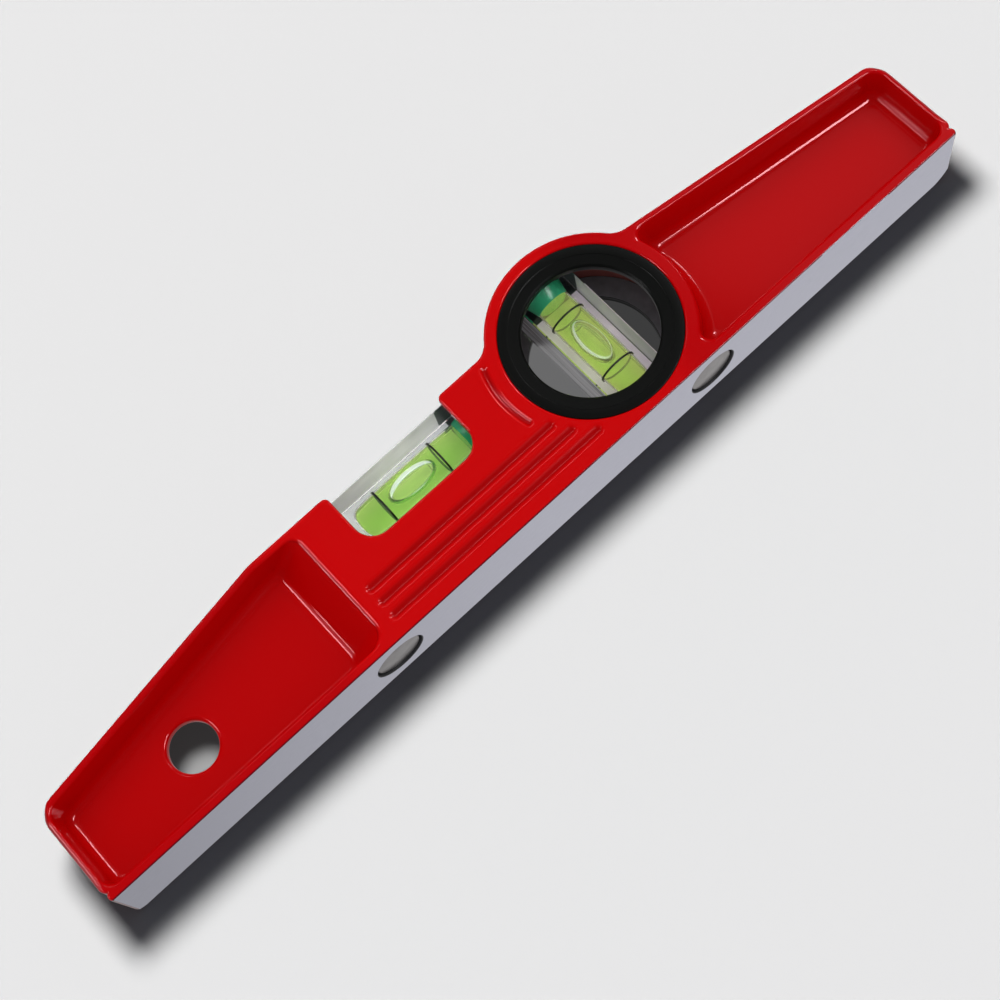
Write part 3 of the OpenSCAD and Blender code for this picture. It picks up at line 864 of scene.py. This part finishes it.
def line_part(x):
    low, high = x - LINE_HALF_W, x + LINE_HALF_W
    return turned_ring(soft([(4.57, low), (4.72, low), (4.72, high), (4.57, high)], 0.05, 3), 128, (0, 0))


def plug_part(end):
    r = chamber(end)
    profile = [(0.01, 0), (r - 0.15, 0), (r, 0.15), (5.05, PLUG_L - 0.1), (4.95, PLUG_L), (0.01, PLUG_L)]
    return revolve([(r, end + x) for r, x in profile], 96)


print("Barrel radius at the middle and the blind end:", chamber(0), chamber(BLIND))


# %% [markdown]
# ## The vials: clear and ground acrylic
# Light bends where the optical density changes, so each inner piece has an index that is relative to
# what surrounds it: spirit in acrylic is 1.36 / 1.49, and gas in spirit is 1.00 / 1.36. The bar's top
# is polished. Its sides and back are ground, and one side of the plumb bar is as the saw left it. Such
# faces glow with the light that the bar gathers, which would take very many samples to trace, so a
# little emission stands for it. The colours of the ground faces are painted light too: they run from one
# tone to another along the vial, and turn to a painted shade beside the plug.

# %% Acrylic
ACRYLIC, SPIRIT = 1.49, 1.36


def glassy(mat, tree, out, left=1.0, **skin):
    """A surface that shadow rays pass, with the share left of their light, because the light that glass
    bends is slow to trace."""
    surface = add(tree, "BsdfPrincipled", **skin).outputs[0]
    clear = add(tree, "BsdfTransparent", Color=(left, left, left, 1)).outputs[0]
    in_shadow = add(tree, "LightPath").outputs["Is Shadow Ray"]
    mix = add(tree, "MixShader", _0=in_shadow, _1=surface, _2=clear)
    tree.links.new(mix.outputs[0], out.inputs["Surface"])
    return mat


def acrylic():
    return glassy(*material("clear_acrylic"), 0.93, Base_Color=(1, 1, 1, 1), Roughness=0.0, IOR=ACRYLIC,
                  Transmission_Weight=1.0)


def ground_acrylic(name, axis, centre, near, far, glow, shade_from):
    """A ground face. Its colour is painted light that runs from near to far along the vial, with a painted
    shade beside the plug.
    """
    mat, tree, out = material(name)
    where = add(tree, "TexCoord").outputs["Object"]
    along_vial = add(tree, "SeparateXYZ", Vector=where).outputs[axis]
    # Painted light: the tone runs from near to far along the vial.
    run = span(tree, along_vial, (centre - 17) * MM, (centre - 2) * MM)
    # Painted shade beside the plug.
    dark = span(tree, along_vial, (centre + shade_from) * MM, (centre + shade_from + 0.2) * MM)
    cloud = add(tree, "TexNoise", Vector=where, Scale=1 / (9 * MM), Detail=1)
    tint = add(tree, "VectorMath", {"operation": "SCALE"}, _0=blend(tree, run, linear(near), linear(far)),
               Scale=span(tree, cloud.outputs["Fac"], 0.35, 0.65, 0.82, 1.0))
    tone = blend(tree, dark, tint.outputs[0], linear("#2E3234"))
    return glassy(mat, tree, out, 0.3, Base_Color=tone, Roughness=0.45, IOR=ACRYLIC, Emission_Color=tone,
                  Emission_Strength=glow)


def sawn_acrylic():
    """The side as the saw left it: streaks along the bar."""
    mat, tree, out = material("sawn_acrylic_side")
    where = add(tree, "TexCoord").outputs["Object"]
    drawn = add(tree, "Mapping", Vector=where, Scale=(1, 0.04, 1))
    streak = add(tree, "TexNoise", Vector=drawn.outputs[0], Scale=1 / (1.4 * MM), Detail=3)
    tone = blend(tree, span(tree, streak.outputs["Fac"], 0.35, 0.68), linear("#1E2020"), linear("#B4B4B8"))
    return glassy(mat, tree, out, 0.3, Base_Color=tone, Roughness=0.2, IOR=ACRYLIC, Emission_Color=tone,
                  Emission_Strength=0.15)


# %% [markdown]
# ## The vials: spirit, gas, plug and lines
# The dye absorbs more over a longer way, so it is a volume and not a colour of the skin. A bubble's
# flank mirrors the tent and its rim is dark, because light leaves it at a grazing angle; here both are
# painted: the pale flank is a painted reflection that glows, the dark rim is painted shade, and the rest
# of the bubble has a faint painted glow. Two ellipses in the bubble's own plan mark where the rim and
# the pale flank begin.

# %% Spirit, gas, plug and lines
def spirit(name, glow):
    """glow stands for the light that the block gathers over its whole length and brings to the liquid."""
    mat, tree, out = material(name)
    dye = add(tree, "VolumeAbsorption", Color=(0.62, 0.93, 0.24, 1), Density=140.0)
    tree.links.new(dye.outputs[0], out.inputs["Volume"])
    return glassy(mat, tree, out, Base_Color=linear("#DDF08C"), Roughness=0.0, IOR=SPIRIT / ACRYLIC,
                  Transmission_Weight=0.92, Emission_Color=glow, Emission_Strength=1.0)


def gas(name, centre, half, shift, inner, painted_reflection, glow):
    """Gas under the liquid, with a painted reflection outside the inner ellipse, painted shade at its rim
    and a faint painted glow elsewhere. half and inner are half sizes in mm along X and Y; shift moves the
    inner one."""
    mat, tree, out = material(name)
    where = add(tree, "TexCoord").outputs["Object"]

    def outward(c, h):
        off = add(tree, "VectorMath", {"operation": "SUBTRACT"}, _0=where, _1=(c[0] * MM, c[1] * MM, 0))
        flat = add(tree, "VectorMath", {"operation": "MULTIPLY"}, _0=off.outputs[0],
                   _1=(1 / (h[0] * MM), 1 / (h[1] * MM), 0))
        return add(tree, "VectorMath", {"operation": "LENGTH"}, _0=flat.outputs[0]).outputs["Value"]

    inner_c = (centre[0] + shift[0], centre[1] + shift[1])
    upper = span(tree, add(tree, "SeparateXYZ", Vector=where).outputs["Z"], 0.3 * MM, 0.9 * MM)
    # Painted shade: the rim is dark and lets less light through.
    rim = span(tree, outward(centre, half), 0.86, 0.92, high=upper, kind="SMOOTHSTEP")
    flank = span(tree, outward(inner_c, inner), 0.97, 1.03, kind="SMOOTHSTEP")
    # Painted reflection on the upper flank, and a faint painted glow elsewhere.
    pale = blend(tree, calc(tree, "MULTIPLY", flank, upper), glow, painted_reflection)
    return glassy(mat, tree, out, Base_Color=blend(tree, rim, (1, 1, 1, 1), linear("#0C2A10")),
                  Roughness=0.0, IOR=1 / SPIRIT, Transmission_Weight=span(tree, rim, 0.0, 1.0, 1.0, 0.25),
                  Emission_Color=blend(tree, rim, pale, (0, 0, 0, 1)), Emission_Strength=0.8)


def even(name, colour, **skin):
    """One plain colour."""
    return coated(*material(name), Base_Color=linear(colour), **skin)


# %% [markdown]
# ## Both vials
# The two vials are the same part, laid down in the slot and stood up in the ring. So one loop builds
# both, and a table says how their ground faces differ with the light that reaches them.

# %% Their finishes
# The colours and glow of the ground faces are painted light; the dark beside the plug is painted shade.
GROUND = {  # colour near the blind end, colour beyond it, glow, and where the dark beside the plug begins
    "level_ground_side": ("#BCAEBC", "#DAD2DA", 0.35, 13.6),
    "level_ground_back": ("#DCD8E4", "#DCD8E4", 0.34, 15.2),
    "level_ground_sill": ("#8CC060", "#8CC060", 0.3, 13.6),
    "plumb_ground_side": ("#98989C", "#A4A4A8", 0.25, 13.6),
    "plumb_ground_back": ("#E2D0E8", "#E2D0E8", 0.2, 13.6)}
POLISHED, SIDE, BACK, FAR_SIDE = range(4)
clear = acrylic()
teal = even("teal_plug", "#34B886", Roughness=0.25, IOR=1.45, Transmission_Weight=0.15)
ink = even("black_line_paint", "#030503", Roughness=0.5)
dyed = {"level": spirit("dyed_spirit", (0.02, 0.03, 0.03, 1)),
        "plumb": spirit("dyed_spirit_of_plumb", (0.07, 0.065, 0.035, 1))}
# The last two colours of each bubble are its painted reflection and its faint painted glow.
vapour = {"level": gas("spirit_vapour_bubble", LEVEL_C, (BUBBLE_L, BUBBLE_R), (0, -0.75), (6.2, 2.0),
                       (0.66, 0.56, 1.60, 1), (0.09, 0.05, 0.10, 1)),
          "plumb": gas("spirit_vapour_of_plumb", RING, (BUBBLE_R, BUBBLE_L), (0.22, 0), (2.45, 5.6),
                       (0.40, 0.36, 0.95, 1), (0.03, 0.02, 0.03, 1))}
print("Finishes of the vials:", [m.name for m in (clear, teal, ink, *dyed.values(), *vapour.values())])

# %% Both vials
for vial, centre, is_plumb, ends in (("level", LEVEL_C, False, ("left", "right")),
                                     ("plumb", RING, True, ("lower", "upper"))):
    def ground(which):
        axis, middle = ("Y", centre[1]) if is_plumb else ("X", centre[0])
        return ground_acrylic(f"{vial}_ground_{which}", axis, middle, *GROUND[f"{vial}_ground_{which}"])

    def piece(what, part, mat, on):
        obj = mesh_piece(f"{vial}_{what}_glass", *along(part, centre, is_plumb), smooth=40)
        return place(obj, mat, on, f"{vial}_{what}")

    bar = mesh_piece(vial + "_bar", *along(block_part(), centre, is_plumb))
    mouth = revolve([(MOUTH_R, PLUG_IN[vial] + PLUG_L - 0.08), (MOUTH_R, 20.0)], 128)
    cut(bar, mesh_piece(vial + "_mouth", *along(mouth, centre, is_plumb)))
    bar.data.shade_smooth()
    bar.data.set_sharp_from_angle(angle=math.radians(20))
    place(bar, clear, "level", vial + "_block")
    for finish in (ground("side"), ground("back"), sawn_acrylic() if is_plumb else ground("sill")):
        bar.data.materials.append(finish)
    for face in bar.data.polygons:
        across = face.normal.x if is_plumb else face.normal.y
        if face.area > 1e-4:
            face.material_index = (SIDE if across > 0.99 else FAR_SIDE if across < -0.99
                                   else BACK if face.normal.z < -0.99 else POLISHED)
    piece("liquid", spirit_part(PLUG_IN[vial]), dyed[vial], "level")
    piece("bubble", bubble_part(), vapour[vial], vial + "_bubble")
    piece("plug", plug_part(PLUG_IN[vial]), teal, "level")
    for end, x in zip(ends, (-LINE_AT, LINE_AT)):
        piece("line_" + end, line_part(x), ink, "level")
    print(vial, "bar, faces by finish:", np.bincount([f.material_index for f in bar.data.polygons]))

# %% [markdown]
# ## The sheet
# The level lies on a pale sheet. Two lamps of its own light the sheet from close above the level and
# behind it, so its shadow spreads at both ends and is deep, while the casting stays evenly lit. A near
# lamp fades away from its foot, and the sheet's colour takes that up. Past half a metre, and in the
# casting's gloss, the sheet simply glows, as a lit sheet without end would; what the gloss sees of it is
# a painted light that grows towards +X and a painted shade under the ring. Two places under the level
# get painted shade: the sheet in the ring, behind the vial, is a dim glow that darkens to the right, and
# the sheet under the hanging hole is partly a dim glow.

# %% Sheet
LAMPS_AT, LAMPS_UP = (0.03, 0.19), 0.46  # place of the sheet's lamps and their height over it, in metres
FLOOR_Z = -HALF_T * MM
floor = mesh_piece("floor", [(-3000, -3000, -HALF_T), (3000, -3000, -HALF_T), (3000, 3000, -HALF_T),
                             (-3000, 3000, -HALF_T)], [(0, 1, 2, 3)])
print("Sheet box in metres:", [round(v, 3) for v in floor.dimensions])

# %% What the sheet shows at each place
paper, tree, out = material("grey_sheet")
path = add(tree, "LightPath").outputs
where = add(tree, "NewGeometry").outputs["Position"]
x_here = add(tree, "SeparateXYZ", Vector=where).outputs["X"]


def away(point):
    """Distance of the shaded place from a point."""
    return add(tree, "VectorMath", {"operation": "DISTANCE"}, _0=where, _1=point).outputs["Value"]


def disc(centre, inner, outer, inside, outside):
    """A value inside a disc on the sheet and another outside it. Centre and radii in mm."""
    middle = (centre[0] * MM, centre[1] * MM, FLOOR_Z)
    return span(tree, away(middle), outer * MM, inner * MM, outside, inside)


# %% The sheet's finish
falloff = calc(tree, "POWER", calc(tree, "DIVIDE", away((*LAMPS_AT, LAMPS_UP + FLOOR_Z)), LAMPS_UP), 3.5)
tone = add(tree, "VectorMath", {"operation": "SCALE"}, _0=(1.0, 0.998, 1.116),
           Scale=calc(tree, "MULTIPLY", falloff, 0.0337))
sheet = add(tree, "BsdfDiffuse", Color=tone.outputs[0])
seen = calc(tree, "MAXIMUM", path["Is Camera Ray"], path["Is Transmission Ray"])
near_seen = calc(tree, "MULTIPLY", seen, span(tree, away((0, 0, 0)), 0.7, 0.4, kind="SMOOTHSTEP"))
# Painted light and shade in the gloss: brighter towards +X, dimmer under the ring.
in_gloss = calc(tree, "MULTIPLY", span(tree, x_here, -0.12, 0.0, 0.62, 0.92), disc(RING, 19, 23, 0.2, 1.0))
plain = add(tree, "Emission", Color=linear("#E7E7E7"),
            Strength=calc(tree, "MAXIMUM", in_gloss, path["Is Camera Ray"]))
# Painted shade on the sheet in the ring: a dim glow, darker to the right.
in_ring = add(tree, "Emission", Color=(1, 1, 1.01, 1),
              Strength=span(tree, x_here, (RING[0] + 1) * MM, (RING[0] + 8) * MM, 0.142, 0.046))
# Painted shade on the sheet under the hanging hole.
in_hole = add(tree, "Emission", Color=(1, 1, 1, 1), Strength=0.045)
mix = add(tree, "MixShader", _0=near_seen, _1=plain.outputs[0], _2=sheet.outputs[0])
mix = add(tree, "MixShader", _0=disc(RING, 18.8, 19.2, 1.0, 0.0), _1=mix.outputs[0], _2=in_ring.outputs[0])
mix = add(tree, "MixShader", _0=disc(HOLE, 11, 12, 0.55, 0.0), _1=mix.outputs[0], _2=in_hole.outputs[0])
tree.links.new(mix.outputs[0], out.inputs["Surface"])
floor.data.materials.append(paper)
print("Nodes of the sheet:", len(tree.nodes))

# %% [markdown]
# ## The tent
# A white tent lights the level from all sides. In gloss it would wash the red out, so the world only
# shows to diffuse light, and to the camera as the pale wall behind the sheet. What the gloss shows
# instead is a few lit cards, placed where the photograph has its highlights.

# %% Tent
world = bpy.data.worlds.new("tent")
world.use_nodes = True
tree = world.node_tree
tree.nodes.clear()
out = tree.nodes.new("ShaderNodeOutputWorld")
path = add(tree, "LightPath").outputs
to_diffuse = span(tree, path["Diffuse Depth"], 0.0, 1.0, 0.0, 0.76)
tent = add(tree, "Background", Color=(1, 1, 1, 1),
           Strength=calc(tree, "MULTIPLY_ADD", path["Is Camera Ray"], 0.8, to_diffuse))
tree.links.new(tent.outputs[0], out.inputs["Surface"])
bpy.context.scene.world = world
print("World:", world.name)


# %% Helpers for lamps
def lamp(name, kind, toward, strength, **settings):
    """A lamp in the direction toward, as seen from the level, at 1 m."""
    data = bpy.data.lights.new(name, kind)
    data.energy = strength
    for key, value in settings.items():
        setattr(data, key, value)
    obj = bpy.data.objects.new(name, data)
    bpy.context.scene.collection.objects.link(obj)
    way = Vector(toward).normalized()
    obj.location = way
    obj.rotation_euler = way.to_track_quat("Z", "Y").to_euler()
    return obj


def card(name, toward, wide, high, radiance, glossy=True):
    """A lit card that only shows in reflections, or only through glass."""
    obj = lamp(name, "AREA", toward, radiance * math.pi * wide * high, shape="RECTANGLE", size=wide,
               size_y=high)
    obj.visible_diffuse = obj.visible_camera = obj.visible_volume_scatter = False
    obj.visible_glossy, obj.visible_transmission = glossy, not glossy
    return obj


# %% Lamps of the sheet alone
only_sheet = bpy.data.collections.new("lit_by_the_sheet_lamps")
only_sheet.objects.link(floor)
for name, y, power, size in (("sheet_sun", 0.212, 40.9, 0.185), ("sheet_fill", 0.162, 11.8, 0.16)):
    lit = lamp(name, "AREA", (0, 0, 1), power, shape="DISK", size=size, color=(1.0, 1.0, 0.89))
    lit.location = (LAMPS_AT[0], y, LAMPS_UP + FLOOR_Z)
    lit.visible_camera = lit.visible_glossy = lit.visible_transmission = False
    lit.light_linking.receiver_collection = only_sheet
    print(name, "in W:", power)

# %% Key and cards
key = lamp("key", "SUN", (0.39, 0.50, 1.0), 0.95, angle=math.radians(60))
key.visible_glossy = False
card("left_card", (-0.64, 0.29, 0.70), 0.34, 0.10, 16.0)
card("left_soft", (-0.80, 0.30, 0.50), 0.30, 0.28, 0.9)
card("left_low", (-0.92, 0.30, 0.22), 0.20, 0.06, 24.0)
card("right_spot", (0.64, 0.30, 0.70), 0.12, 0.08, 30.0)
card("back_strip", (0.10, 0.66, 0.75), 0.60, 0.07, 4.0)
card("end_strip", (0.395, -0.45, 0.80), 0.50, 0.12, 26.0)
card("front_strip", (0.42, -0.90, 0.18), 0.30, 0.08, 8.0)
card("veil", (0.60, 0.32, 0.75), 0.36, 0.60, 0.30)
card("back_wall", (-0.2, 0.9, 0.35), 1.2, 0.35, 1.0, glossy=False)
RING_LAMP_R = 0.015
up = lamp("sheet_in_ring", "AREA", (0, 0, -1), 0.25 * (math.pi * RING_LAMP_R) ** 2, shape="DISK",
          size=2 * RING_LAMP_R)
up.location = (RING[0] * MM, RING[1] * MM, -(HALF_T - 0.1) * MM)
up.visible_camera = up.visible_transmission = False
